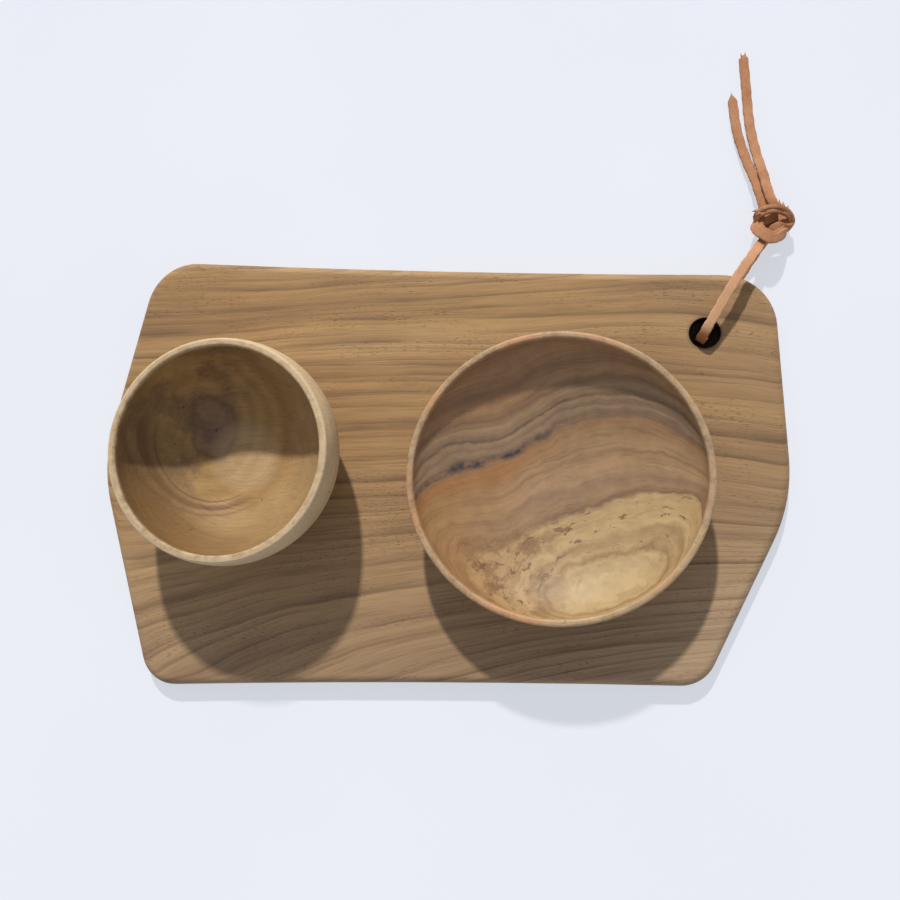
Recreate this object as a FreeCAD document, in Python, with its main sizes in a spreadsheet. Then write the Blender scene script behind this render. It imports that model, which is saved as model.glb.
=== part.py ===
import FreeCAD, Part
import math
import os

import Sketcher

# Chip and dip server: a wooden board that carries a deep dip cup and a shallow chip dish,
# with a leather lace tied through the hole in its corner.
# Millimetres. Origin: under the middle of the board, on the table. +X runs along the board, +Z is up.

V = FreeCAD.Vector

os.makedirs("parts", exist_ok=True)
doc = FreeCAD.newDocument("chip_and_dip_server")

# Driving dimensions ---------------------------------------------------------------------------

DIMENSIONS = {
    # board
    "board_thickness": 10.0,
    "front_left_x": -147.2,
    "front_left_y": -111.8,
    "front_right_x": 132.8,
    "front_right_y": -105.8,
    "right_x": 175.6,
    "right_y": -18.8,
    "back_right_x": 169.8,
    "back_right_y": 90.7,
    "back_left_x": -147.7,
    "back_left_y": 112.7,
    "left_x": -177.4,
    "left_y": 3.2,
    "back_hollow_radius": 7000.0,
    "front_hollow_radius": 6500.0,
    "front_corner_radius": 18.0,
    "back_corner_radius": 27.0,
    "wide_corner_radius": 80.0,
    "top_edge_radius": 4.0,
    "bottom_edge_radius": 3.0,
    # hole for the lace, and the relief under the board that the lower leg lies in
    "hole_x": 136.8,
    "hole_y": 62.7,
    "hole_radius": 7.5,
    "relief_width": 6.4,
    "relief_depth": 3.4,
    "relief_length": 45.0,
    "relief_angle": 58.0,
    # small bowl: deep rounded cup, a little oval because wood shrinks across its grain
    "small_x": -91.7,
    "small_y": 5.2,
    "small_height": 49.0,
    "small_belly_radius": 55.6,
    "small_belly_height": 37.0,
    "small_rim_radius": 54.0,
    "small_foot_radius": 28.0,
    "small_mouth_radius": 50.5,
    "small_hollow_radius": 37.0,
    "small_floor_height": 10.0,
    "small_shrinkage": 0.98,
    # large bowl: shallow dish, more oval than the cup
    "large_x": 66.8,
    "large_y": -8.3,
    "large_height": 31.5,
    "large_rim_radius": 71.5,
    "large_mouth_radius": 67.6,
    "large_foot_radius": 37.0,
    "large_wall_mid_radius": 58.5,
    "large_wall_mid_height": 12.5,
    "large_floor_height": 8.0,
    "large_shrinkage": 0.957,
    "rim_rounding": 1.2,
    # gap that keeps each bowl just clear of the board
    "resting_gap": 0.02,
    # lace
    "lace_diameter": 2.8,
    "knot_width": 19.0,
    "knot_length": 18.0,
    "knot_height": 15.0,
    "knot_x": 169.8,
    "knot_y": 115.7,
}

sheet = doc.addObject("Spreadsheet::Sheet", "Dimensions")
for row, (name, value) in enumerate(DIMENSIONS.items(), start=1):
    sheet.set(f"A{row}", name)
    sheet.set(f"B{row}", str(value))
    sheet.setAlias(f"B{row}", name)
doc.recompute()


def size(name):
    """A driving dimension, read from the sheet."""
    return float(sheet.get(name))


# Sketch helpers -------------------------------------------------------------------------------


def new_body(label):
    body = doc.addObject("PartDesign::Body", label)
    body.Label = label
    return body


def sketch_on(body, role, name):
    """A sketch on one of the body's own origin planes."""
    sketch = body.newObject("Sketcher::SketchObject", name)
    plane = next(feature for feature in body.Origin.OriginFeatures if feature.Role == role)
    sketch.AttachmentSupport = [(plane, "")]
    sketch.MapMode = "FlatFace"
    return sketch


def pin_point(sketch, edge, end, x_name, y_name):
    """Fix one end of an edge at a pair of named dimensions."""
    for kind, name in (("DistanceX", x_name), ("DistanceY", y_name)):
        point = sketch.getPoint(edge, end)
        value = point.x if kind == "DistanceX" else point.y
        index = sketch.addConstraint(Sketcher.Constraint(kind, -1, 1, edge, end, value))
        sketch.setExpression(f"Constraints[{index}]", f"Dimensions.{name}")


def set_radius(sketch, edge, name):
    index = sketch.addConstraint(Sketcher.Constraint("Radius", edge, size(name)))
    sketch.setExpression(f"Constraints[{index}]", f"Dimensions.{name}")


def arc_with_radius(start, end, radius, side):
    """An arc from start to end that bows by its radius towards the unit vector `side`."""
    half = start.distanceToPoint(end) / 2
    bow = radius - math.sqrt(radius**2 - half**2)
    return Part.Arc(start, (start + end) / 2 + side * bow, end)


# Board ----------------------------------------------------------------------------------------

CORNERS = ["front_left", "front_right", "right", "back_right", "back_left", "left"]
CORNER_ROUNDINGS = {
    "front_corner_radius": ["front_left", "front_right"],
    "back_corner_radius": ["back_right", "back_left"],
    "wide_corner_radius": ["right", "left"],
}


def corner(name):
    return V(size(name + "_x"), size(name + "_y"), 0)


def vertical_edges_at(shape, names):
    """The upright edges of the slab at the named corners of its outline."""
    found = []
    for index, edge in enumerate(shape.Edges, start=1):
        ends = [vertex.Point for vertex in edge.Vertexes]
        if len(ends) != 2 or abs(ends[0].z - ends[1].z) < size("board_thickness") / 2:
            continue
        if any(V(ends[0].x, ends[0].y, 0).distanceToPoint(corner(name)) < 1 for name in names):
            found.append(f"Edge{index}")
    return found


def edges_at_height(shape, height):
    return [
        f"Edge{index}"
        for index, edge in enumerate(shape.Edges, start=1)
        if abs(edge.BoundBox.ZMin - height) < 1e-6 and abs(edge.BoundBox.ZMax - height) < 1e-6
    ]


def add_fillet(body, base, edges, radius_name, name):
    fillet = body.newObject("PartDesign::Fillet", name)
    fillet.Base = (base, edges)
    fillet.setExpression("Radius", f"Dimensions.{radius_name}")
    doc.recompute()
    return fillet


def make_board():
    body = new_body("serving_board")

    outline = sketch_on(body, "XY_Plane", "board_outline")
    for index, name in enumerate(CORNERS):
        start = corner(name)
        end = corner(CORNERS[(index + 1) % len(CORNERS)])
        if name == "front_left":
            edge = arc_with_radius(start, end, size("front_hollow_radius"), V(0, 1, 0))
        elif name == "back_right":
            edge = arc_with_radius(start, end, size("back_hollow_radius"), V(0, -1, 0))
        else:
            edge = Part.LineSegment(start, end)
        outline.addGeometry(edge, False)
    # Both hollow edges are stored as counterclockwise arcs about a centre outside the board,
    # so their first and second ends are swapped.
    first = {index: 1 for index in range(len(CORNERS))}
    first[CORNERS.index("front_left")] = 2
    first[CORNERS.index("back_right")] = 2
    for index, name in enumerate(CORNERS):
        following = (index + 1) % len(CORNERS)
        last = 3 - first[index]
        outline.addConstraint(
            Sketcher.Constraint("Coincident", index, last, following, first[following])
        )
        pin_point(outline, index, first[index], name + "_x", name + "_y")
    set_radius(outline, CORNERS.index("front_left"), "front_hollow_radius")
    set_radius(outline, CORNERS.index("back_right"), "back_hollow_radius")

    slab = body.newObject("PartDesign::Pad", "slab")
    slab.Profile = outline
    slab.setExpression("Length", "Dimensions.board_thickness")
    doc.recompute()

    tip = slab
    for radius_name, names in CORNER_ROUNDINGS.items():
        tip = add_fillet(body, tip, vertical_edges_at(tip.Shape, names), radius_name, "round_" + names[0])
    top = edges_at_height(tip.Shape, size("board_thickness"))
    tip = add_fillet(body, tip, top, "top_edge_radius", "top_rounding")
    tip = add_fillet(body, tip, edges_at_height(tip.Shape, 0), "bottom_edge_radius", "bottom_rounding")

    hole_circle = sketch_on(body, "XY_Plane", "hole_circle")
    circle = hole_circle.addGeometry(
        Part.Circle(V(size("hole_x"), size("hole_y"), 0), V(0, 0, 1), size("hole_radius")), False
    )
    pin_point(hole_circle, circle, 3, "hole_x", "hole_y")
    set_radius(hole_circle, circle, "hole_radius")
    hole = body.newObject("PartDesign::Pocket", "lace_hole")
    hole.Profile = hole_circle
    hole.Type = "ThroughAll"
    hole.Midplane = True
    doc.recompute()

    relief_outline = sketch_on(body, "XY_Plane", "relief_outline")
    angle = math.radians(size("relief_angle"))
    along = V(math.cos(angle), math.sin(angle), 0)
    across = V(-along.y, along.x, 0) * (size("relief_width") / 2)
    near = V(size("hole_x"), size("hole_y"), 0)
    far = near + along * size("relief_length")
    points = [near - across, far - across, far + across, near + across]
    for index, point in enumerate(points):
        relief_outline.addGeometry(Part.LineSegment(point, points[(index + 1) % 4]), False)
    for index in range(4):
        relief_outline.addConstraint(
            Sketcher.Constraint("Coincident", index, 2, (index + 1) % 4, 1)
        )
    relief_outline.addConstraint(Sketcher.Constraint("Block", 0))
    relief_outline.addConstraint(Sketcher.Constraint("Perpendicular", 0, 1))
    relief_outline.addConstraint(Sketcher.Constraint("Perpendicular", 1, 2))
    relief_outline.addConstraint(Sketcher.Constraint("Perpendicular", 2, 3))
    width = relief_outline.addConstraint(
        Sketcher.Constraint("Distance", 1, 1, 1, 2, size("relief_width"))
    )
    relief_outline.setExpression(f"Constraints[{width}]", "Dimensions.relief_width")
    relief = body.newObject("PartDesign::Pocket", "lace_relief")
    relief.Profile = relief_outline
    relief.Reversed = True
    relief.setExpression("Length", "Dimensions.relief_depth")
    doc.recompute()
    return body


# Bowls ----------------------------------------------------------------------------------------


def turn(body, edges, name):
    """Turn a closed half-section, given as a list of edges in order, about the body's Z axis."""
    section = sketch_on(body, "XZ_Plane", name + "_section")
    for edge in edges:
        section.addGeometry(edge, False)
    section.addConstraint([Sketcher.Constraint("Block", index) for index in range(len(edges))])
    turned = body.newObject("PartDesign::Revolution", name + "_turned")
    turned.Profile = section
    turned.ReferenceAxis = (section, ["V_Axis"])
    turned.Angle = 360
    doc.recompute()
    return turned


def shrink_across_grain(body, name):
    """Wood shrinks across its grain after turning, and a round bowl becomes an oval one."""
    shrinkage = FreeCAD.Matrix()
    shrinkage.scale(1, size(name + "_shrinkage"), 1)
    oval = doc.addObject("Part::Feature", name + "_bowl")
    oval.Label = name + "_bowl"
    oval.Shape = body.Shape.transformGeometry(shrinkage)
    oval.Placement.Base = V(
        size(name + "_x"), size(name + "_y"), size("board_thickness") + size("resting_gap")
    )
    return oval


def make_small_bowl():
    body = new_body("small_bowl_as_turned")
    height = size("small_height")
    floor = size("small_floor_height")
    foot = V(size("small_foot_radius"), 0, 0)
    belly = V(size("small_belly_radius"), size("small_belly_height"), 0)
    rim = V(size("small_rim_radius"), height, 0)
    mouth = V(size("small_mouth_radius"), height, 0)

    # The outside is two arcs that stand upright where they meet at the belly.
    lower_radius = (belly.distanceToPoint(foot) ** 2) / (2 * (belly.x - foot.x))
    upper_radius = (belly.distanceToPoint(rim) ** 2) / (2 * (belly.x - rim.x))
    lower_centre = V(belly.x - lower_radius, belly.y, 0)
    upper_centre = V(belly.x - upper_radius, belly.y, 0)
    lower_middle = lower_centre + ((foot + belly) / 2 - lower_centre).normalize() * lower_radius
    upper_middle = upper_centre + ((rim + belly) / 2 - upper_centre).normalize() * upper_radius

    # The inside is a small flat floor, a quarter round and a short upright lip.
    hollow = size("small_hollow_radius")
    floor_edge = V(mouth.x - hollow, floor, 0)
    wall_start = V(mouth.x, floor + hollow, 0)
    hollow_middle = V(floor_edge.x, floor + hollow, 0) + V(1, -1, 0).normalize() * hollow

    edges = [
        Part.LineSegment(V(0, 0, 0), foot),
        Part.Arc(foot, lower_middle, belly),
        Part.Arc(belly, upper_middle, rim),
        Part.LineSegment(rim, mouth),
        Part.LineSegment(mouth, wall_start),
        Part.Arc(floor_edge, hollow_middle, wall_start),
        Part.LineSegment(floor_edge, V(0, floor, 0)),
        Part.LineSegment(V(0, floor, 0), V(0, 0, 0)),
    ]
    turned = turn(body, edges, "small")
    add_fillet(body, turned, edges_at_height(turned.Shape, height), "rim_rounding", "small_rim")
    return shrink_across_grain(body, "small")


def make_large_bowl():
    body = new_body("large_bowl_as_turned")
    height = size("large_height")
    floor = size("large_floor_height")
    foot = V(size("large_foot_radius"), 0, 0)
    wall_middle = V(size("large_wall_mid_radius"), size("large_wall_mid_height"), 0)
    rim = V(size("large_rim_radius"), height, 0)
    mouth = V(size("large_mouth_radius"), height, 0)

    # The inside is a quarter of an ellipse, nearly flat at the middle and upright at the mouth.
    whole_hollow = Part.Ellipse(V(0, height, 0), mouth.x, height - floor)

    edges = [
        Part.LineSegment(V(0, 0, 0), foot),
        Part.Arc(foot, wall_middle, rim),
        Part.LineSegment(rim, mouth),
        Part.ArcOfEllipse(whole_hollow, -math.pi / 2, 0),
        Part.LineSegment(V(0, floor, 0), V(0, 0, 0)),
    ]
    turned = turn(body, edges, "large")
    add_fillet(body, turned, edges_at_height(turned.Shape, height), "rim_rounding", "large_rim")
    return shrink_across_grain(body, "large")


# Lace -----------------------------------------------------------------------------------------

# The lace comes up through the hole, folds over its rim and arches over the board to the knot.
# Its other leg goes down through the hole and lies in the relief under the board.
# Beyond the knot the two ends come down to the table side by side.
LACE_ROUTES = {
    "lace_over_leg": [
        V(135.4, 60.4, 7.4),
        V(134.4, 59.0, 14.0),
        V(140.8, 71.6, 20.3),
        V(149.8, 86.2, 21.2),
        V(158.4, 97.0, 16.6),
        V(165.6, 107.0, 10.5),
    ],
    "lace_under_leg": [
        V(135.4, 60.4, 7.4),
        V(136.2, 61.8, 1.7),
        V(142.1, 71.2, 1.9),
        V(154.8, 91.5, 1.7),
        V(160.4, 100.6, 4.6),
        V(166.0, 107.8, 7.2),
    ],
    "lace_long_tail": [
        V(171.2, 123.8, 8.2),
        V(169.0, 135.2, 5.6),
        V(164.4, 152.2, 3.4),
        V(161.4, 169.2, 2.0),
        V(160.6, 188.2, 1.6),
        V(159.6, 205.5, 1.5),
    ],
    "lace_short_tail": [
        V(166.1, 123.8, 7.8),
        V(162.4, 135.6, 5.2),
        V(158.7, 148.8, 3.2),
        V(155.9, 163.2, 1.9),
        V(154.3, 175.2, 1.6),
        V(153.7, 185.2, 1.5),
    ],
}


def rounded_route(name, points):
    """Straight runs joined by tangent arcs, as one wire."""
    edges = []
    start = points[0]
    radii = []
    for before, at, after in zip(points, points[1:], points[2:]):
        back = (before - at).normalize()
        ahead = (after - at).normalize()
        half_turn = (math.pi - back.getAngle(ahead)) / 2
        run = min(before.distanceToPoint(at), after.distanceToPoint(at))
        tangent = 0.45 * run
        radius = tangent / math.tan(half_turn)
        radii.append(round(radius, 1))
        centre = at + (back + ahead).normalize() * (radius / math.cos(half_turn))
        middle = centre + (at - centre).normalize() * radius
        edges.append(Part.LineSegment(start, at + back * tangent).toShape())
        edges.append(Part.Arc(at + back * tangent, middle, at + ahead * tangent).toShape())
        start = at + ahead * tangent
    edges.append(Part.LineSegment(start, points[-1]).toShape())
    print(name, "arc radii", radii)
    return Part.Wire(edges)


def make_lace_tube(name, points):
    route = rounded_route(name, points)
    radius = size("lace_diameter") / 2
    end = Part.Wire(Part.Circle(points[0], points[1] - points[0], radius).toShape())
    tube = doc.addObject("Part::Feature", name)
    tube.Label = name
    tube.Shape = route.makePipeShell([end], True, True)
    expected = math.pi * radius**2 * route.Length
    print(name, "length", round(route.Length, 1), "volume ratio", round(tube.Shape.Volume / expected, 4))
    return tube


def make_lace_knot():
    """The outer shape of the overhand knot, lying on the table."""
    knot = doc.addObject("Part::Ellipsoid", "lace_knot")
    knot.Label = "lace_knot"
    knot.Angle1 = -90
    knot.Angle2 = 90
    knot.Angle3 = 360
    knot.setExpression("Radius1", "Dimensions.knot_height / 2")
    knot.setExpression("Radius2", "Dimensions.knot_width / 2")
    knot.setExpression("Radius3", "Dimensions.knot_length / 2")
    knot.setExpression("Placement.Base.x", "Dimensions.knot_x")
    knot.setExpression("Placement.Base.y", "Dimensions.knot_y")
    knot.setExpression("Placement.Base.z", "Dimensions.knot_height / 2")
    return knot


# Build ----------------------------------------------------------------------------------------

nodes = [make_board(), make_small_bowl(), make_large_bowl(), make_lace_knot()]
nodes += [make_lace_tube(name, points) for name, points in LACE_ROUTES.items()]
doc.recompute()

for item in doc.Objects:
    if "Invalid" in item.State or "Error" in item.State:
        raise RuntimeError(f"{item.Label} did not build: {item.State}")
for node in nodes:
    if node.Shape.isNull() or not node.Shape.isValid() or len(node.Shape.Solids) != 1:
        raise RuntimeError(f"{node.Label} is not one valid solid")
    node.Shape.exportStep(f"parts/{node.Label}.step")
    box = node.Shape.BoundBox
    print(
        node.Label,
        f"{box.XMin:.1f}..{box.XMax:.1f}",
        f"{box.YMin:.1f}..{box.YMax:.1f}",
        f"{box.ZMin:.2f}..{box.ZMax:.2f}",
        f"{node.Shape.Volume / 1000:.1f} cm3",
    )
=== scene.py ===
import math
import random

import bpy
import numpy as np
from mathutils import Matrix, Vector


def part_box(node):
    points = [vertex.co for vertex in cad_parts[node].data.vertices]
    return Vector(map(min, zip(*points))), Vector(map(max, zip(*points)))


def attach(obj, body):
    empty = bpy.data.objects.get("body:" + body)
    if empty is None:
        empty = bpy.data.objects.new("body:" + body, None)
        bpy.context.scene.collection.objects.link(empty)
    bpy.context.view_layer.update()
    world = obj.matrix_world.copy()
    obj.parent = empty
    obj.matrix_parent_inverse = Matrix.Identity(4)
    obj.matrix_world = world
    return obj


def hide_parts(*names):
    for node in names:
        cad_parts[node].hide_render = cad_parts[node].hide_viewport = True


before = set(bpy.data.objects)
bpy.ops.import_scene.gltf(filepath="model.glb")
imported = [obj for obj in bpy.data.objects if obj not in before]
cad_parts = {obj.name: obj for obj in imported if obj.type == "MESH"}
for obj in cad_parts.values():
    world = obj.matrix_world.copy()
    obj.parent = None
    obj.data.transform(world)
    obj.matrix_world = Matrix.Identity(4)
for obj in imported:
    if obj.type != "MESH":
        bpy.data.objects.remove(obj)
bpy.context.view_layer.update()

# Looks of the chip and dip server. Metres, in the row frame: the origin is on the table under the
# middle of the board, +X runs along the board towards the chip dish, +Z is up.

MM = 0.001


def centre(node):
    """The middle of a node's box, as a vector."""
    low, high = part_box(node)
    return (Vector(low) + Vector(high)) / 2


def top(node):
    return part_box(node)[1][2]


BOARD_TOP = top("serving_board")
# The axis of the lace hole, which the frame has no name for.
HOLE_CENTRE = Vector((136.8, 62.7, 0)) * MM

# Camera ---------------------------------------------------------------------------------------


def make_camera():
    """Looks almost straight down, from a little to the right of the board's middle and in front."""
    aim = Vector((11.8, 7.8, 0)) * MM
    aim.z = BOARD_TOP
    distance = 482.5 * MM
    back = Vector((0.1675, -0.0929, 0.9815)).normalized()
    right = Vector((0, 1, 0)).cross(back).normalized()
    up = back.cross(right)
    data = bpy.data.cameras.new("camera")
    data.sensor_width = 36
    data.lens = 38.6
    camera = bpy.data.objects.new("camera", data)
    turned = Matrix((right, up, back)).transposed().to_4x4()
    camera.matrix_world = Matrix.Translation(aim + back * distance) @ turned
    bpy.context.collection.objects.link(camera)
    bpy.context.scene.camera = camera


# Material helpers -----------------------------------------------------------------------------


def colour(red, green, blue):
    """A screen colour, 0 to 255, as the linear colour that shaders take."""

    def linear(channel):
        value = channel / 255
        return value / 12.92 if value <= 0.04045 else ((value + 0.055) / 1.055) ** 2.4

    return (linear(red), linear(green), linear(blue), 1)


def add(tree, kind, inputs=None, **settings):
    """A new node. Each input takes a number, a colour, or another node's output socket."""
    node = tree.nodes.new(kind)
    for name, value in settings.items():
        setattr(node, name, value)
    for key, value in (inputs or {}).items():
        if isinstance(value, bpy.types.NodeSocket):
            tree.links.new(value, node.inputs[key])
        else:
            node.inputs[key].default_value = value
    return node


def calc(tree, operation, first, second=0.0):
    inputs = {0: first, 1: second}
    return add(tree, "ShaderNodeMath", inputs, operation=operation).outputs[0]


def total(tree, *terms):
    result = terms[0]
    for term in terms[1:]:
        result = calc(tree, "ADD", result, term)
    return result


def times(tree, *factors):
    result = factors[0]
    for factor in factors[1:]:
        result = calc(tree, "MULTIPLY", result, factor)
    return result


def hump(tree, value, middle, width):
    """1 at the middle, easing to 0 a width or two away."""
    offset = calc(tree, "DIVIDE", calc(tree, "SUBTRACT", value, middle), width)
    return calc(tree, "EXPONENT", times(tree, offset, offset, -1.0))


def distance(tree, x, y, middle_x=0.0, middle_y=0.0):
    """How far a point is from an upright axis."""
    across = calc(tree, "SUBTRACT", x, middle_x)
    along = calc(tree, "SUBTRACT", y, middle_y)
    return calc(tree, "SQRT", total(tree, times(tree, across, across), times(tree, along, along)))


def remap(tree, value, low, high, new_low=0.0, new_high=1.0):
    """Carries low..high over to new_low..new_high, and goes no further at either end."""
    inputs = {0: value, 1: low, 2: high, 3: new_low, 4: new_high}
    return add(tree, "ShaderNodeMapRange", inputs).outputs[0]


def noise(tree, vector, scale, detail=2.0, roughness=0.5, seed=0.0):
    """Noise from 0 to 1, mostly near 0.5, with `scale` features per millimetre."""
    inputs = {"Vector": vector, "W": seed, "Scale": scale, "Detail": detail, "Roughness": roughness}
    return add(tree, "ShaderNodeTexNoise", inputs, noise_dimensions="4D").outputs["Fac"]


def streaks(tree, directions, steps, detail=2.0, roughness=0.5, seed=0.0):
    """Noise that is drawn out: `steps` are its features per millimetre along each direction."""
    stretched = [times(tree, value, step) for value, step in zip(directions, steps)]
    return noise(tree, combine(tree, *stretched), 1.0, detail, roughness, seed)


def combine(tree, x, y, z):
    return add(tree, "ShaderNodeCombineXYZ", {0: x, 1: y, 2: z}).outputs[0]


def split(tree, vector):
    node = add(tree, "ShaderNodeSeparateXYZ", {0: vector})
    return node.outputs[0], node.outputs[1], node.outputs[2]


def ramp(tree, value, stops):
    """A colour ramp from (position, colour) stops."""
    node = add(tree, "ShaderNodeValToRGB", {0: value})
    elements = node.color_ramp.elements
    while len(elements) < len(stops):
        elements.new(0.5)
    for element, (position, shade) in zip(elements, stops):
        element.position = position
        element.color = shade
    return node.outputs[0]


def mix(tree, factor, first, second, blend="MIX"):
    inputs = {0: factor, 6: first, 7: second}
    node = add(tree, "ShaderNodeMix", inputs, data_type="RGBA", blend_type=blend, clamp_factor=True)
    return node.outputs[2]


def place_in_millimetres(tree):
    """The point on the piece, in the row frame, in millimetres."""
    place = add(tree, "ShaderNodeTexCoord").outputs["Object"]
    return add(tree, "ShaderNodeVectorMath", {0: place, 3: 1 / MM}, operation="SCALE").outputs[0]


def new_material(name):
    material = bpy.data.materials.new(name)
    material.use_nodes = True
    material.node_tree.nodes.clear()
    return material, material.node_tree


def finish_material(tree, base, roughness, height, depth, specular=0.35):
    """Joins colour, roughness and bump height, in millimetres of depth, to one shader."""
    bump = add(tree, "ShaderNodeBump", {"Height": height, "Distance": depth * MM, "Strength": 1.0})
    shader = add(
        tree,
        "ShaderNodeBsdfPrincipled",
        {"Base Color": base, "Roughness": roughness, "Normal": bump.outputs[0]},
    )
    shader.inputs["Specular IOR Level"].default_value = specular
    add(tree, "ShaderNodeOutputMaterial", {"Surface": shader.outputs[0]})


def wear(node_name, material):
    """Gives a CAD node its material."""
    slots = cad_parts[node_name].material_slots
    for slot in slots:
        slot.material = material


# Wood -----------------------------------------------------------------------------------------


def threads(tree, base, directions, steps, strength, seed):
    """Fine lighter and darker threads of grain. Returns the colour and the threads' height."""
    field = streaks(tree, directions, steps, 4, 0.65, seed)
    dark = (0.72, 0.69, 0.66, 1)
    light = (1.14, 1.13, 1.11, 1)
    tint = ramp(tree, field, [(0.3, dark), (0.5, (1, 1, 1, 1)), (0.7, light)])
    return mix(tree, strength, base, tint, "MULTIPLY"), field


def board_layers(tree, x, y, z):
    """Distance across the board's growth layers, in mm. They run along it and wander a little; they
    bend towards the front at its right end, and slant in its front half."""
    wander = streaks(tree, (x, y, z), (0.005, 0.010, 0.006), 2, 0.5, 1.0)
    ripple = streaks(tree, (x, y, z), (0.02, 0.04, 0.03), 2, 0.5, 2.0)
    past_end = calc(tree, "MAXIMUM", calc(tree, "SUBTRACT", x, 100.0), 0.0)
    slant = remap(tree, y, -20, -105, 0.0, -0.30)
    return total(
        tree,
        y,
        times(tree, z, 0.7),
        times(tree, past_end, past_end, 0.0012),
        times(tree, slant, x),
        remap(tree, wander, 0, 1, -7, 7),
        remap(tree, ripple, 0, 1, -1.5, 1.5),
    )


def growth_lines(tree, layer, x, spacing, sharpness, seed):
    """Dark lines, one per growth layer: each starts sharply, fades, and varies along its length."""
    shift = streaks(tree, (x, layer, x), (0.003, 0.035, 0.0), 1, 0.5, seed)
    phase = calc(tree, "ADD", calc(tree, "DIVIDE", layer, spacing), remap(tree, shift, 0, 1, -0.9, 0.9))
    fade = calc(tree, "EXPONENT", times(tree, calc(tree, "FRACT", phase), -sharpness))
    rise = remap(tree, calc(tree, "FRACT", phase), 0.93, 1.0, 0.0, 1.0)
    line = calc(tree, "MAXIMUM", fade, rise)
    strength = streaks(tree, (x, layer, x), (0.009, 0.045, 0.0), 2, 0.6, seed + 1)
    return times(tree, line, remap(tree, strength, 0.40, 0.60, 0.05, 1.0))


# The board's sets of growth lines: (spacing in mm, how fast a line fades, strength, colour).
BOARD_LINES = [
    (13.2, 4.0, 0.75, colour(98, 73, 53)),
    (7.1, 5.0, 0.6, colour(104, 78, 57)),
    (3.7, 3.0, 0.42, colour(112, 84, 61)),
]


def board_wood():
    """Teak-like board: tan, with dark growth lines along +X, fine threads and open pores."""
    material, tree = new_material("board_wood")
    x, y, z = split(tree, place_in_millimetres(tree))
    layer = board_layers(tree, x, y, z)

    broad = streaks(tree, (x, layer, z), (0.003, 0.05, 0.003), 3, 0.55, 3.0)
    base = ramp(
        tree,
        broad,
        [
            (0.32, colour(152, 117, 77)),
            (0.46, colour(171, 133, 86)),
            (0.56, colour(181, 143, 94)),
            (0.70, colour(192, 155, 105)),
        ],
    )
    # The right end and the front are greyer.
    base = mix(tree, remap(tree, x, 60, 170, 0.0, 0.4), base, colour(152, 123, 92))
    base = mix(tree, remap(tree, y, 20, -100, 0.0, 0.6), base, colour(156, 131, 106))
    # The front right corner is painted palest: painted light that lifts the shade cast there.
    corner = times(tree, remap(tree, x, 20, 130), remap(tree, y, -10, -80))
    base = mix(tree, times(tree, corner, 0.6), base, colour(186, 158, 127))
    lines = 0.0
    for index, (spacing, sharpness, strength, shade) in enumerate(BOARD_LINES):
        line = times(tree, growth_lines(tree, layer, x, spacing, sharpness, 4.0 + 2 * index), strength)
        base = mix(tree, line, base, shade)
        lines = calc(tree, "ADD", lines, line)
    base, fibre = threads(tree, base, (x, layer, z), (0.05, 1.7, 0.5), 0.85, 14.0)

    # Open pores: short dark dashes along the grain, in uneven groups.
    dashes = streaks(tree, (x, y, z), (0.30, 2.4, 2.4), 2, 0.5, 15.0)
    groups = streaks(tree, (x, layer, z), (0.02, 0.08, 0.02), 2, 0.5, 16.0)
    pores = times(tree, remap(tree, dashes, 0.61, 0.69), remap(tree, groups, 0.42, 0.58))
    base = mix(tree, times(tree, pores, 0.7), base, colour(84, 60, 42))

    # The lace hole is scorched, and painted nearly black inside, which also stands in for its shade; it
    # has a narrow brown edge.
    from_hole = distance(tree, x, y, HOLE_CENTRE.x / MM, HOLE_CENTRE.y / MM)
    base = mix(tree, remap(tree, from_hole, 7.6, 9.2, 0.5, 0.0), base, colour(70, 52, 38))
    base = mix(tree, remap(tree, from_hole, 7.5, 7.8, 1.0, 0.0), base, colour(22, 16, 13))

    roughness = remap(tree, fibre, 0.2, 0.8, 0.66, 0.54)
    height = total(tree, times(tree, fibre, 0.6), times(tree, pores, -0.9), times(tree, lines, -0.3))
    finish_material(tree, base, roughness, height, 0.14)
    return material


def bowl_place(tree, node):
    """The point in the bowl's own frame, in mm: from its axis, and up from its foot."""
    foot = centre(node) / MM
    foot.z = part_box(node)[0][2] / MM
    inputs = {0: place_in_millimetres(tree), 1: tuple(foot)}
    local = add(tree, "ShaderNodeVectorMath", inputs, operation="SUBTRACT").outputs[0]
    return (local, *split(tree, local))


def height_across(tree, local, lowest, tilt):
    """How far the point is above a tilted plane through `lowest`."""
    direction = Vector(tilt).normalized()
    inputs = {0: local, 1: tuple(direction)}
    height = add(tree, "ShaderNodeVectorMath", inputs, operation="DOT_PRODUCT").outputs["Value"]
    return calc(tree, "SUBTRACT", height, Vector(lowest).dot(direction))


def outward(tree, x, y):
    """1 on a bowl's outside wall and 0 on its inside wall. Level places are in between."""
    normal = add(tree, "ShaderNodeTexCoord").outputs["Normal"]
    inputs = {0: normal, 1: combine(tree, x, y, 0.0)}
    side = add(tree, "ShaderNodeVectorMath", inputs, operation="DOT_PRODUCT")
    return remap(tree, side.outputs["Value"], -4, 6)


def stops_in_millimetres(stops):
    """Turns (level, colour) stops into ramp stops, with the levels' own span."""
    low = stops[0][0]
    span = stops[-1][0] - low
    return low, low + span, [((level - low) / span, shade) for level, shade in stops]


def layered_colour(tree, layer, stops):
    low, high, scaled = stops_in_millimetres(stops)
    return ramp(tree, remap(tree, layer, low, high), scaled)


def turned_marks(tree, x, y, z, seed):
    """Fine rings left by the turning tool, as one value that changes along the bowl's profile."""
    path = total(tree, distance(tree, x, y), z)
    rings = noise(tree, combine(tree, path, 0.0, 0.0), 0.9, 3, 0.65, seed)
    wobble = noise(tree, combine(tree, x, y, z), 0.06, 2, 0.5, seed + 1)
    return times(tree, rings, remap(tree, wobble, 0.35, 0.6, 0.3, 1.0))


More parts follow.
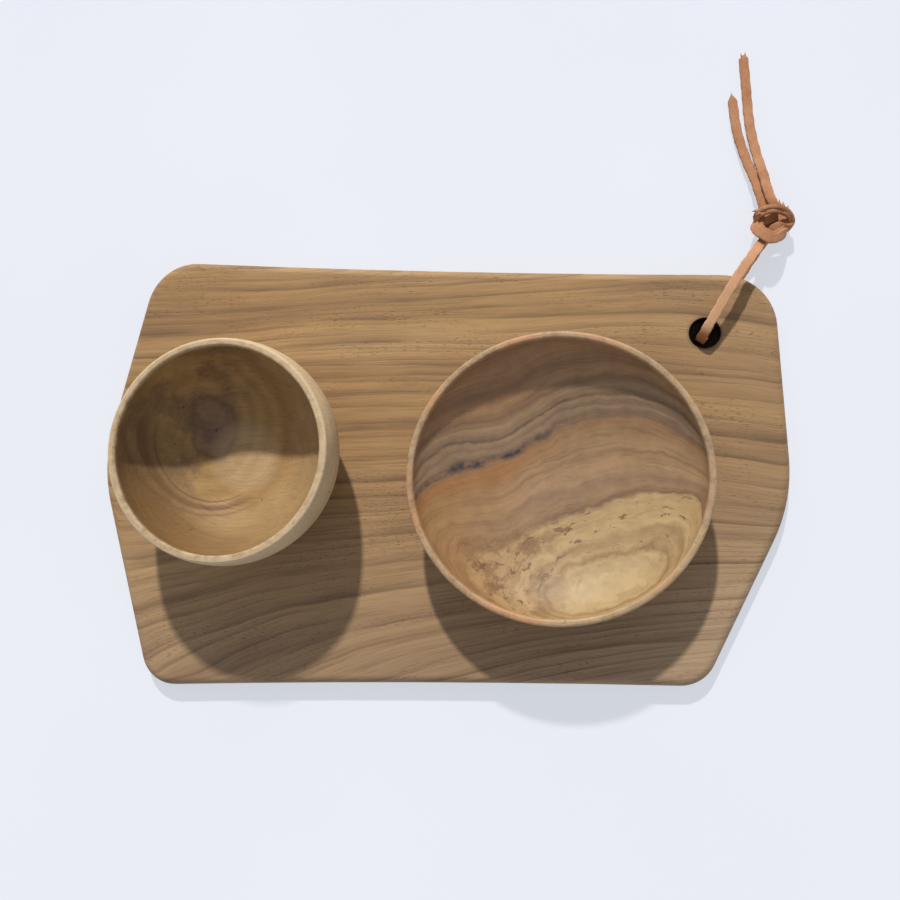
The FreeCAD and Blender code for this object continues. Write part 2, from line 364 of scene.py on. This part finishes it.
# Distances from the heart, in mm, and the wood's colour there.
SMALL_BOWL_LAYERS = [
    (0, colour(142, 114, 90)),
    (12.2, colour(145, 116, 91)),
    (14.6, colour(130, 100, 69)),
    (16.8, colour(158, 126, 80)),
    (20.0, colour(170, 136, 86)),
    (24.0, colour(160, 125, 77)),
    (28.0, colour(174, 140, 88)),
    (34.0, colour(158, 123, 75)),
    (39.0, colour(172, 137, 86)),
    (45.0, colour(156, 121, 75)),
    (51.0, colour(168, 134, 88)),
    (65.0, colour(172, 141, 98)),
]


# Brown rings on the cup's floor: (radius and width in mm, strength).
SMALL_BOWL_RINGS = [(31.2, 1.5, 0.85), (32.2, 0.5, 0.8), (28.0, 0.5, 0.75), (35.4, 0.6, 0.6)]


def small_bowl_wood():
    """Pale brown cup, with a darker heart off the middle of its floor and brown rings in front."""
    material, tree = new_material("small_bowl_wood")
    local, x, y, z = bowl_place(tree, "small_bowl")
    wander = noise(tree, local, 0.045, 3, 0.55, 1.0)
    # The heart is a little longer from front to back than from side to side.
    from_heart = distance(tree, times(tree, x, 1.18), y, -18.7, 15.0)
    layer = total(tree, from_heart, remap(tree, wander, 0, 1, -8, 8))
    base = layered_colour(tree, layer, SMALL_BOWL_LAYERS)

    # Brown rings where the floor turns up into the wall, strongest at the front left.
    from_axis = total(tree, distance(tree, x, y, -14.4, 5.2), remap(tree, wander, 0, 1, -1.6, 1.6))
    arc_side = remap(tree, calc(tree, "ADD", x, y), -14, -38)
    for radius, width, strength in SMALL_BOWL_RINGS:
        arc = hump(tree, from_axis, radius, width)
        base = mix(tree, times(tree, arc, arc_side, strength), base, colour(104, 62, 30))

    # Stains, mostly on the left half, and a dull left wall.
    stain = noise(tree, local, 0.06, 4, 0.6, 3.0)
    stain_place = remap(tree, calc(tree, "SUBTRACT", times(tree, y, 0.5), x), 0, 26)
    stain_mask = times(tree, remap(tree, stain, 0.46, 0.58), stain_place)
    base = mix(tree, times(tree, stain_mask, 0.6), base, colour(100, 74, 56))
    dull = times(tree, remap(tree, x, -22, -44), remap(tree, y, 40, 10))
    base = mix(tree, times(tree, dull, 0.55), base, colour(126, 104, 78))
    # The front wall is browner low down.
    front = times(tree, remap(tree, x, 34, -20, 0.3, 1.0), remap(tree, y, 4, -26))
    low_wall = times(tree, remap(tree, z, 13, 24), front)
    base = mix(tree, times(tree, low_wall, 0.9), base, colour(126, 95, 57))

    # The outside wall is grey-beige, and is painted paler still as painted light where it curves away
    # from the key light.
    outside = outward(tree, x, y)
    base = mix(tree, times(tree, outside, 0.85), base, colour(210, 184, 146))
    marks = turned_marks(tree, x, y, z, 5.0)
    mark_tint = ramp(tree, marks, [(0.2, (0.84, 0.82, 0.78, 1)), (0.6, (1.1, 1.1, 1.08, 1))])
    base = mix(tree, 0.6, base, mark_tint, "MULTIPLY")
    base, fibre = threads(tree, base, (x, z, y), (0.09, 0.5, 0.9), 0.6, 7.0)

    # Dark specks, one or two to a thumbprint.
    specks = remap(tree, noise(tree, local, 0.33, 1, 0.5, 8.0), 0.75, 0.79)
    base = mix(tree, times(tree, specks, 0.8), base, colour(60, 38, 26))

    # The rim is paler, and rougher in patches.
    worn = noise(tree, local, 0.22, 4, 0.65, 9.0)
    lip = times(tree, remap(tree, z, 45.6, 48.0), remap(tree, worn, 0.36, 0.58, 0.3, 1.0))
    base = mix(tree, times(tree, lip, 0.8), base, colour(206, 180, 144))

    roughness = remap(tree, marks, 0.2, 0.7, 0.72, 0.5)
    height = total(
        tree,
        times(tree, marks, 1.2),
        times(tree, fibre, 0.35),
        times(tree, specks, -0.5),
        times(tree, lip, 0.8),
    )
    finish_material(tree, base, roughness, height, 0.2)
    return material


# Levels above the sapwood oval, in mm across the layers, and the wood's colour there.
LARGE_BOWL_LAYERS = [
    (-4, colour(180, 154, 111)),
    (1.3, colour(176, 149, 106)),
    (2.0, colour(148, 119, 80)),
    (2.8, colour(172, 144, 102)),
    (4.2, colour(156, 127, 87)),
    (5.2, colour(184, 155, 111)),
    (7.8, colour(174, 144, 101)),
    (9.8, colour(184, 154, 110)),
    (11.0, colour(126, 98, 74)),
    (12.6, colour(156, 125, 93)),
    (15.5, colour(144, 114, 88)),
    (17.5, colour(164, 132, 98)),
    (21.0, colour(162, 129, 94)),
    (22.0, colour(144, 112, 82)),
    (23.0, colour(162, 130, 95)),
    (27.0, colour(156, 123, 88)),
    (30.0, colour(152, 116, 81)),
    (31.4, colour(142, 111, 84)),
    (33.2, colour(132, 106, 83)),
    (34.6, colour(150, 125, 97)),
    (36.0, colour(134, 108, 84)),
    (37.6, colour(154, 127, 98)),
    (39.0, colour(132, 105, 81)),
    (42.0, colour(160, 131, 99)),
    (44.5, colour(136, 105, 78)),
    (48.0, colour(168, 130, 93)),
    (53.0, colour(144, 109, 79)),
    (60.0, colour(166, 127, 91)),
    (72.0, colour(152, 116, 83)),
]


def large_bowl_wood():
    """Dish cut along a log: a pale oval of sapwood low on the front wall, then brown layers, one of
    them orange at its left end with a blue-black streak."""
    material, tree = new_material("large_bowl_wood")
    local, x, y, z = bowl_place(tree, "large_bowl")
    # The layers bow a little, about a line right of the middle, and dip on the left.
    off_middle = calc(tree, "SUBTRACT", x, 8.0)
    bow = times(tree, off_middle, off_middle, -0.0025)
    dip = times(tree, hump(tree, x, -28.0, 15.0), 3.0)
    # The layers slope up to the right. On the left the slope starts nearer the front.
    slope_start = remap(tree, x, -20, 20, -25, 0)
    full_slope = remap(tree, x, -20, 20, -0.125, -0.07)
    slope = remap(tree, calc(tree, "SUBTRACT", y, slope_start), 0, 25, 0.0, full_slope)
    # Towards the right wall the upper layers arch down again.
    past_middle = calc(tree, "MAXIMUM", calc(tree, "SUBTRACT", x, 12.0), 0.0)
    arch = remap(tree, y, -8, 20, 0.0, 0.0055)
    wander = noise(tree, local, 0.035, 3, 0.55, 1.0)
    ripple = noise(tree, local, 0.16, 3, 0.6, 2.0)
    layer = total(
        tree,
        height_across(tree, local, (16.2, -52.6, 19.0), (-0.136, 0.482, 0.866)),
        bow,
        times(tree, x, slope),
        times(tree, past_middle, past_middle, arch),
        dip,
        remap(tree, wander, 0, 1, -3.0, 3.0),
        remap(tree, ripple, 0, 1, -1.1, 1.1),
    )
    base = layered_colour(tree, layer, LARGE_BOWL_LAYERS)

    # The front left of the sapwood is tan, with brown stains.
    stains = noise(tree, local, 0.09, 4, 0.65, 3.0)
    front_left = times(tree, remap(tree, x, 6, -26), remap(tree, layer, 14, 8))
    base = mix(tree, times(tree, front_left, 0.6), base, colour(158, 125, 86))
    stain_mask = times(tree, front_left, remap(tree, stains, 0.47, 0.56))
    base = mix(tree, times(tree, stain_mask, 0.9), base, colour(100, 66, 38))

    # The left end of one layer is orange, and a broken blue-black streak lies along it.
    glow = times(tree, hump(tree, layer, 27.9, 2.7), remap(tree, x, 4, -30))
    base = mix(tree, times(tree, glow, 0.6), base, colour(162, 106, 58))
    warm = times(tree, remap(tree, x, -10, -50), remap(tree, layer, 30, 26))
    base = mix(tree, times(tree, warm, 0.65), base, colour(150, 109, 64))
    breaks = noise(tree, local, 0.12, 3, 0.6, 4.0)
    streak = times(tree, hump(tree, layer, 32.3, 1.2), remap(tree, breaks, 0.40, 0.54, 0.15, 1.0))
    base = mix(tree, times(tree, streak, remap(tree, x, 10, -20, 0.15, 0.95)), base, colour(62, 56, 60))
    thin_streak = times(tree, hump(tree, layer, 38.6, 0.45), remap(tree, breaks, 0.58, 0.44, 0.2, 1.0))
    base = mix(tree, times(tree, thin_streak, 0.6), base, colour(84, 74, 68))

    base, fibre = threads(tree, base, (x, layer, y), (0.035, 1.1, 0.03), 0.8, 5.0)
    mottle = noise(tree, local, 0.14, 4, 0.6, 6.0)
    mottle_tint = ramp(tree, mottle, [(0.36, (0.84, 0.81, 0.78, 1)), (0.6, (1.06, 1.06, 1.04, 1))])
    base = mix(tree, 0.6, base, mottle_tint, "MULTIPLY")

    # Small cracks along the edge of the sapwood.
    cracks = streaks(tree, (x, layer, y), (0.11, 0.9, 0.11), 3, 0.6, 7.0)
    crack_mask = times(tree, remap(tree, cracks, 0.60, 0.64), hump(tree, layer, 6.5, 4.5))
    base = mix(tree, times(tree, crack_mask, 0.75), base, colour(92, 62, 40))

    # The rim is lighter and patchy.
    worn = noise(tree, local, 0.24, 4, 0.65, 8.0)
    lip = times(tree, remap(tree, z, 28.4, 30.4), remap(tree, worn, 0.36, 0.58, 0.3, 1.0))
    base = mix(tree, times(tree, lip, 0.8), base, colour(184, 156, 122))
    orange = noise(tree, local, 0.025, 1, 0.5, 9.0)
    orange_lip = times(tree, lip, remap(tree, orange, 0.52, 0.60))
    base = mix(tree, times(tree, orange_lip, 0.7), base, colour(196, 142, 98))

    marks = turned_marks(tree, x, y, z, 9.0)
    roughness = remap(tree, fibre, 0.2, 0.8, 0.6, 0.46)
    height = total(
        tree,
        times(tree, marks, 0.4),
        times(tree, fibre, 0.5),
        times(tree, crack_mask, -0.8),
        times(tree, lip, 0.8),
    )
    finish_material(tree, base, roughness, height, 0.18)
    return material


# Lace -----------------------------------------------------------------------------------------

LACE_WIDTH = 4.6 * MM
LACE_THICKNESS = 2.0 * MM

# Each strand is a list of (point in mm, way its upper side faces). Both start in the hole, where
# they are one bend of the same lace. The over strand becomes the short tail, the under strand the
# long one. In the knot both turn right, go round its far side, back under it, across its near
# side, and out under the far turn.
OVER_STRAND = [
    ((137.4, 63.0, 1.9), (-0.5, -0.7, 0.6)),
    ((135.2, 60.2, 4.6), (-0.6, -0.8, 0)),
    ((134.4, 58.8, 11.0), (-0.6, -0.9, 0.2)),
    ((136.4, 62.2, 17.6), (-0.2, -0.4, 1)),
    ((142.6, 72.4, 19.8), (0, -0.1, 1)),
    ((151.0, 86.4, 21.4), (0.05, 0.1, 1)),
    ((158.8, 97.6, 17.8), (0.1, 0.3, 1)),
    ((163.4, 104.4, 11.8), (0.1, 0.4, 1)),
    ((167.4, 109.8, 8.6), (0, 0.1, 1)),
    ((172.0, 113.6, 12.0), (0, -0.3, 1)),
    ((176.6, 112.6, 7.4), (0.9, -0.5, 0.1)),
    ((180.4, 116.2, 7.2), (1, -0.1, 0)),
    ((176.6, 121.4, 11.4), (0.6, 1, 0.1)),
    ((169.0, 123.0, 12.6), (0, 1, 0.2)),
    ((162.6, 121.2, 11.4), (-0.6, 1, 0.1)),
    ((162.8, 118.4, 6.0), (-1, 0.1, 0)),
    ((164.6, 116.4, 2.2), (-0.4, 0, -1)),
    ((170.6, 116.4, 1.5), (0, 0, -1)),
    ((176.4, 112.8, 4.2), (0.8, 0, -0.7)),
    ((175.4, 110.2, 10.8), (0.8, -0.4, 0.6)),
    ((169.4, 105.6, 14.2), (0, -0.2, 1)),
    ((164.0, 108.8, 14.2), (-0.1, -0.1, 1)),
    ((160.9, 113.0, 11.8), (-0.6, 0, 0.8)),
    ((162.6, 116.6, 6.8), (-0.7, 0.5, 0.6)),
    ((165.4, 120.6, 5.8), (-0.2, 0, 1)),
    ((166.6, 125.6, 6.2), (0, 0, 1)),
    ((165.0, 132.0, 5.0), (0, 0, 1)),
    ((163.2, 140.0, 3.6), (0, 0, 1)),
    ((159.6, 149.8, 2.4), (0, 0, 1)),
    ((155.9, 163.2, 1.5), (0, 0, 1)),
    ((154.3, 175.2, 1.3), (0, 0, 1)),
    ((153.7, 185.2, 1.3), (0, 0, 1)),
]
UNDER_STRAND = [
    ((135.2, 60.2, 5.6), (-0.6, -0.8, 0)),
    ((135.8, 61.0, 2.0), (-0.5, -0.7, 0.4)),
    ((142.1, 71.2, 1.8), (0, 0, 1)),
    ((154.8, 91.5, 1.8), (0, 0, 1)),
    ((160.4, 100.2, 4.4), (0, -0.3, 1)),
    ((165.6, 107.2, 5.6), (0, 0, 1)),
    ((171.0, 114.8, 5.8), (0, 0, 1)),
    ((175.4, 115.6, 5.9), (0.4, -0.3, 0.9)),
    ((179.2, 116.8, 7.6), (1, 0, 0.2)),
    ((175.8, 120.0, 10.8), (0.5, 1, 0.2)),
    ((169.0, 121.1, 11.8), (0, 1, 0.2)),
    ((163.8, 119.6, 10.8), (-0.6, 1, 0.1)),
    ((163.6, 118.2, 7.4), (-1, 0.2, 0)),
    ((165.6, 119.4, 4.2), (-0.4, 0, -1)),
    ((172.0, 120.3, 3.3), (0, 0, -1)),
    ((178.0, 119.0, 4.4), (0.5, 0, -0.9)),
    ((174.6, 111.4, 9.4), (0.8, -0.4, 0.6)),
    ((169.4, 107.4, 12.6), (0, -0.2, 1)),
    ((165.0, 110.4, 12.4), (-0.1, -0.1, 1)),
    ((162.6, 114.4, 10.4), (-0.6, 0, 0.8)),
    ((165.6, 117.2, 6.4), (-0.3, 0.3, 0.9)),
    ((171.0, 119.8, 6.8), (0, 0, 1)),
    ((171.0, 125.2, 8.2), (0, 0, 1)),
    ((168.6, 131.6, 7.4), (0, 0, 1)),
    ((167.1, 141.0, 5.8), (0, 0, 1)),
    ((164.2, 152.2, 3.6), (0, 0, 1)),
    ((161.4, 169.2, 1.6), (0, 0, 1)),
    ((160.6, 188.2, 1.3), (0, 0, 1)),
    ((159.6, 205.4, 1.3), (0, 0, 1)),
]

# Torn fibres, as (root, tip, width) in mm: a tuft behind the knot, ragged ends on its left, and the
# ends of the tails.
OVER_SLIVERS = [
    ((173.0, 122.6, 11.8), (173.0, 126.7, 11.4), 2.6),
    ((174.6, 122.2, 11.8), (174.8, 125.4, 11.6), 2.4),
    ((176.2, 121.4, 11.4), (177.4, 123.4, 11.0), 2.0),
    ((163.6, 121.2, 12.6), (159.8, 121.0, 12.0), 2.2),
    ((163.8, 119.8, 12.8), (160.2, 118.6, 11.4), 2.0),
    ((153.8, 184.0, 1.6), (153.2, 187.0, 1.4), 0.8),
]
UNDER_SLIVERS = [
    ((160.6, 204.4, 1.6), (160.6, 207.2, 1.5), 1.1),
    ((159.0, 204.6, 1.4), (158.2, 206.8, 1.4), 1.0),
    ((164.6, 119.6, 12.0), (161.4, 118.0, 10.4), 1.4),
]


def smooth_line(name, points):
    """Points along the NURBS line that has the given control points."""
    curve = bpy.data.curves.new(name, "CURVE")
    curve.dimensions = "3D"
    curve.resolution_u = 16
    spline = curve.splines.new("NURBS")
    spline.points.add(len(points) - 1)
    for control, point in zip(spline.points, points):
        control.co = (*point, 1)
    spline.order_u = 3
    spline.use_endpoint_u = True
    holder = bpy.data.objects.new(name, curve)
    bpy.context.collection.objects.link(holder)
    line_mesh = bpy.data.meshes.new_from_object(holder)
    line = [vertex.co.copy() for vertex in line_mesh.vertices]
    bpy.data.objects.remove(holder)
    bpy.data.curves.remove(curve)
    bpy.data.meshes.remove(line_mesh)
    return line


def facing_along(line, facings):
    """The way the strip's upper side faces at each point, eased between the control points."""
    spans = len(facings) - 2
    knots = [0.0] + [index + 0.5 for index in range(spans)] + [float(spans)]
    places = np.linspace(0, spans, len(line))
    columns = [np.interp(places, knots, [facing[axis] for facing in facings]) for axis in range(3)]
    return [Vector(values) for values in zip(*columns)]


def strip_section(sides=16, squareness=0.35):
    """A rounded rectangle, from -1 to 1 each way, as (across, up) pairs."""
    section = []
    for index in range(sides):
        angle = 2 * math.pi * (index + 0.5) / sides
        across = math.copysign(abs(math.cos(angle)) ** squareness, math.cos(angle))
        up = math.copysign(abs(math.sin(angle)) ** squareness, math.sin(angle))
        section.append((across, up))
    return section


def cut_edge(place, slow, fast, shifts):
    """How far out the strip's edge is, as a share of its mean, `place` mm along the strip."""
    return 1 + 0.05 * math.sin(place * slow + shifts[0]) + 0.03 * math.sin(place * fast + shifts[1])


def strip_rings(line, facings, tip, seed):
    """The strip's cross-sections. `tip` is (length of the cut in mm, where its point is across the
    strip, from -1 to 1). The edges waver a little, as a strip cut by hand does."""
    draw = random.Random(seed)
    shifts = [draw.uniform(0, 2 * math.pi) for _ in range(5)]
    travelled = [0.0]
    for before, after in zip(line, line[1:]):
        travelled.append(travelled[-1] + (after - before).length / MM)
    tip_length, tip_side = tip
    rings = []
    for index, point in enumerate(line):
        ahead = (line[min(index + 1, len(line) - 1)] - line[max(index - 1, 0)]).normalized()
        across = ahead.cross(facings[index]).normalized()
        up = across.cross(ahead)
        place = travelled[index]
        left = cut_edge(place, 0.9, 2.3, shifts[0:2])
        right = cut_edge(place, 0.8, 2.7, shifts[2:4])
        thick = 1 + 0.05 * math.sin(place * 0.6 + shifts[4])
        cut = max(0.0, 1 - (travelled[-1] - place) / tip_length)
        ring = []
        for side, height in strip_section():
            reach = max(-left, min(right, side * (left if side < 0 else right)))
            reach += (tip_side - reach) * cut * 0.93
            ring.append(
                point + across * (reach * LACE_WIDTH / 2) + up * (height * thick * LACE_THICKNESS / 2)
            )
        rings.append(ring)
    return rings, travelled[-1] * MM


def add_sliver(vertices, faces, root, tip, width):
    """A torn fibre of leather: a thin four-sided spike from root to tip."""
    ahead = (tip - root).normalized()
    across = ahead.cross(Vector((0, 0, 1))).normalized() * width / 2
    up = across.cross(ahead).normalized() * width / 3
    start = len(vertices)
    vertices += [root + across, root + up, root - across, root - up, tip]
    faces += [(start + side, start + (side + 1) % 4, start + 4) for side in range(4)]
    faces.append((start + 3, start + 2, start + 1, start))


def make_strand(name, route, tip, slivers, seed, leather):
    """A flat leather strip along its route, with a cut tip and a few torn fibres."""
    line = smooth_line(name + "_line", [Vector(point) * MM for point, _ in route])
    rings, length = strip_rings(line, facing_along(line, [way for _, way in route]), tip, seed)
    vertices = [corner for ring in rings for corner in ring]
    sides = len(rings[0])
    faces = []
    for ring in range(len(rings) - 1):
        for side in range(sides):
            first = ring * sides + side
            following = ring * sides + (side + 1) % sides
            faces.append((first, following, following + sides, first + sides))
    faces.append(tuple(reversed(range(sides))))
    faces.append(tuple(range(len(vertices) - sides, len(vertices))))
    for root, end, width in slivers:
        add_sliver(vertices, faces, Vector(root) * MM, Vector(end) * MM, width * MM)

    mesh = bpy.data.meshes.new(name)
    mesh.from_pydata(vertices, [], faces)
    mesh.polygons.foreach_set("use_smooth", [True] * len(mesh.polygons))
    mesh.update()
    strand = bpy.data.objects.new(name, mesh)
    bpy.context.collection.objects.link(strand)
    strand.data.materials.append(leather)
    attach(strand, "board")
    return strand


def lace_leather():
    """Undyed tan leather, with lighter and darker patches, drawn-out fibres and fine creases."""
    material, tree = new_material("lace_leather")
    place = place_in_millimetres(tree)
    patches = noise(tree, place, 0.09, 4, 0.6)
    grain = noise(tree, place, 1.6, 4, 0.7)
    x, y, z = split(tree, place)
    fibre = streaks(tree, (x, y, z), (2.4, 0.35, 2.4), 4, 0.7)
    base = ramp(
        tree,
        total(tree, times(tree, patches, 0.6), times(tree, fibre, 0.4)),
        [
            (0.32, colour(146, 98, 67)),
            (0.46, colour(176, 122, 85)),
            (0.56, colour(190, 136, 98)),
            (0.70, colour(206, 156, 119)),
        ],
    )
    # It is painted paler where it arches over the board: painted light where it faces the key light.
    painted_light_arch = times(tree, remap(tree, y, 110, 66), remap(tree, z, 8, 15))
    base = mix(tree, times(tree, painted_light_arch, 0.7), base, colour(228, 182, 140))
    # The bend in the hole is painted darker and more orange: painted shade where it dips into the hole.
    bend = times(tree, remap(tree, y, 70, 63), remap(tree, z, 19, 16))
    base = mix(tree, times(tree, bend, 0.75), base, colour(170, 104, 58))
    creases = ramp(tree, grain, [(0.35, (0.78, 0.74, 0.7, 1)), (0.6, (1.05, 1.04, 1.03, 1))])
    base = mix(tree, 0.5, base, creases, "MULTIPLY")
    roughness = remap(tree, grain, 0.2, 0.8, 0.78, 0.6)
    height = total(tree, times(tree, grain, 0.6), times(tree, fibre, 0.6))
    finish_material(tree, base, roughness, height, 0.2, specular=0.25)
    return material


# Surroundings ---------------------------------------------------------------------------------


def floor_paint():
    """Plain pale floor. Most of its brightness is light of its own, which keeps its shadows pale."""
    material, tree = new_material("floor_paint")
    place = place_in_millimetres(tree)
    cloud = noise(tree, place, 0.004, 3, 0.5)
    base = ramp(tree, cloud, [(0.3, colour(143, 142, 145)), (0.7, colour(149, 148, 151))])
    # Where the lace hole shows it, it has no light of its own and is painted dark: painted shade, so
    # the hole stays black.
    x, y, _ = split(tree, place)
    from_hole = distance(tree, x, y, HOLE_CENTRE.x / MM, HOLE_CENTRE.y / MM)
    painted_hole_shade = remap(tree, from_hole, 12, 22, 1.0, 0.0)
    own_light = remap(tree, from_hole, 12, 22, 0.0, 0.6)
    base = mix(tree, painted_hole_shade, base, colour(64, 56, 52))
    shader = add(tree, "ShaderNodeBsdfPrincipled", {"Base Color": base, "Roughness": 0.9})
    shader.inputs["Specular IOR Level"].default_value = 0.1
    shader.inputs["Emission Color"].default_value = colour(241, 246, 255)
    tree.links.new(own_light, shader.inputs["Emission Strength"])
    add(tree, "ShaderNodeOutputMaterial", {"Surface": shader.outputs[0]})
    return material


def make_floor():
    """A level floor that reaches far enough for a plain horizon."""
    half = 30.0
    mesh = bpy.data.meshes.new("floor")
    corners = [(-half, -half, 0), (half, -half, 0), (half, half, 0), (-half, half, 0)]
    mesh.from_pydata(corners, [], [(0, 1, 2, 3)])
    floor = bpy.data.objects.new("floor", mesh)
    bpy.context.collection.objects.link(floor)
    floor.data.materials.append(floor_paint())


def make_light():
    """A key light from behind the board, about 39 degrees up, and an even fill."""
    key = bpy.data.lights.new("key", "SUN")
    key.energy = 3.2
    key.angle = math.radians(2.5)
    key.color = (1.0, 0.985, 0.96)
    light = bpy.data.objects.new("key", key)
    travel = Vector((0.087, -1.248, -1))
    light.rotation_euler = travel.to_track_quat("-Z", "Y").to_euler()
    bpy.context.collection.objects.link(light)

    world = bpy.data.worlds.new("studio")
    world.use_nodes = True
    background = world.node_tree.nodes["Background"]
    background.inputs["Color"].default_value = (0.93, 0.98, 1.08, 1)
    background.inputs["Strength"].default_value = 0.42
    bpy.context.scene.world = world
    bpy.context.scene.view_settings.view_transform = "Standard"


# Build ----------------------------------------------------------------------------------------

make_camera()

leather = lace_leather()
over_strand = make_strand(
    "lace_strand_over", OVER_STRAND, (3.5, -0.2), OVER_SLIVERS, 11, leather
)
under_strand = make_strand(
    "lace_strand_under", UNDER_STRAND, (1.2, 0.3), UNDER_SLIVERS, 23, leather
)
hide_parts("lace_over_leg", "lace_knot", "lace_short_tail")
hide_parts("lace_under_leg", "lace_long_tail")

wear("serving_board", board_wood())
wear("small_bowl", small_bowl_wood())
wear("large_bowl", large_bowl_wood())

make_floor()
make_light()
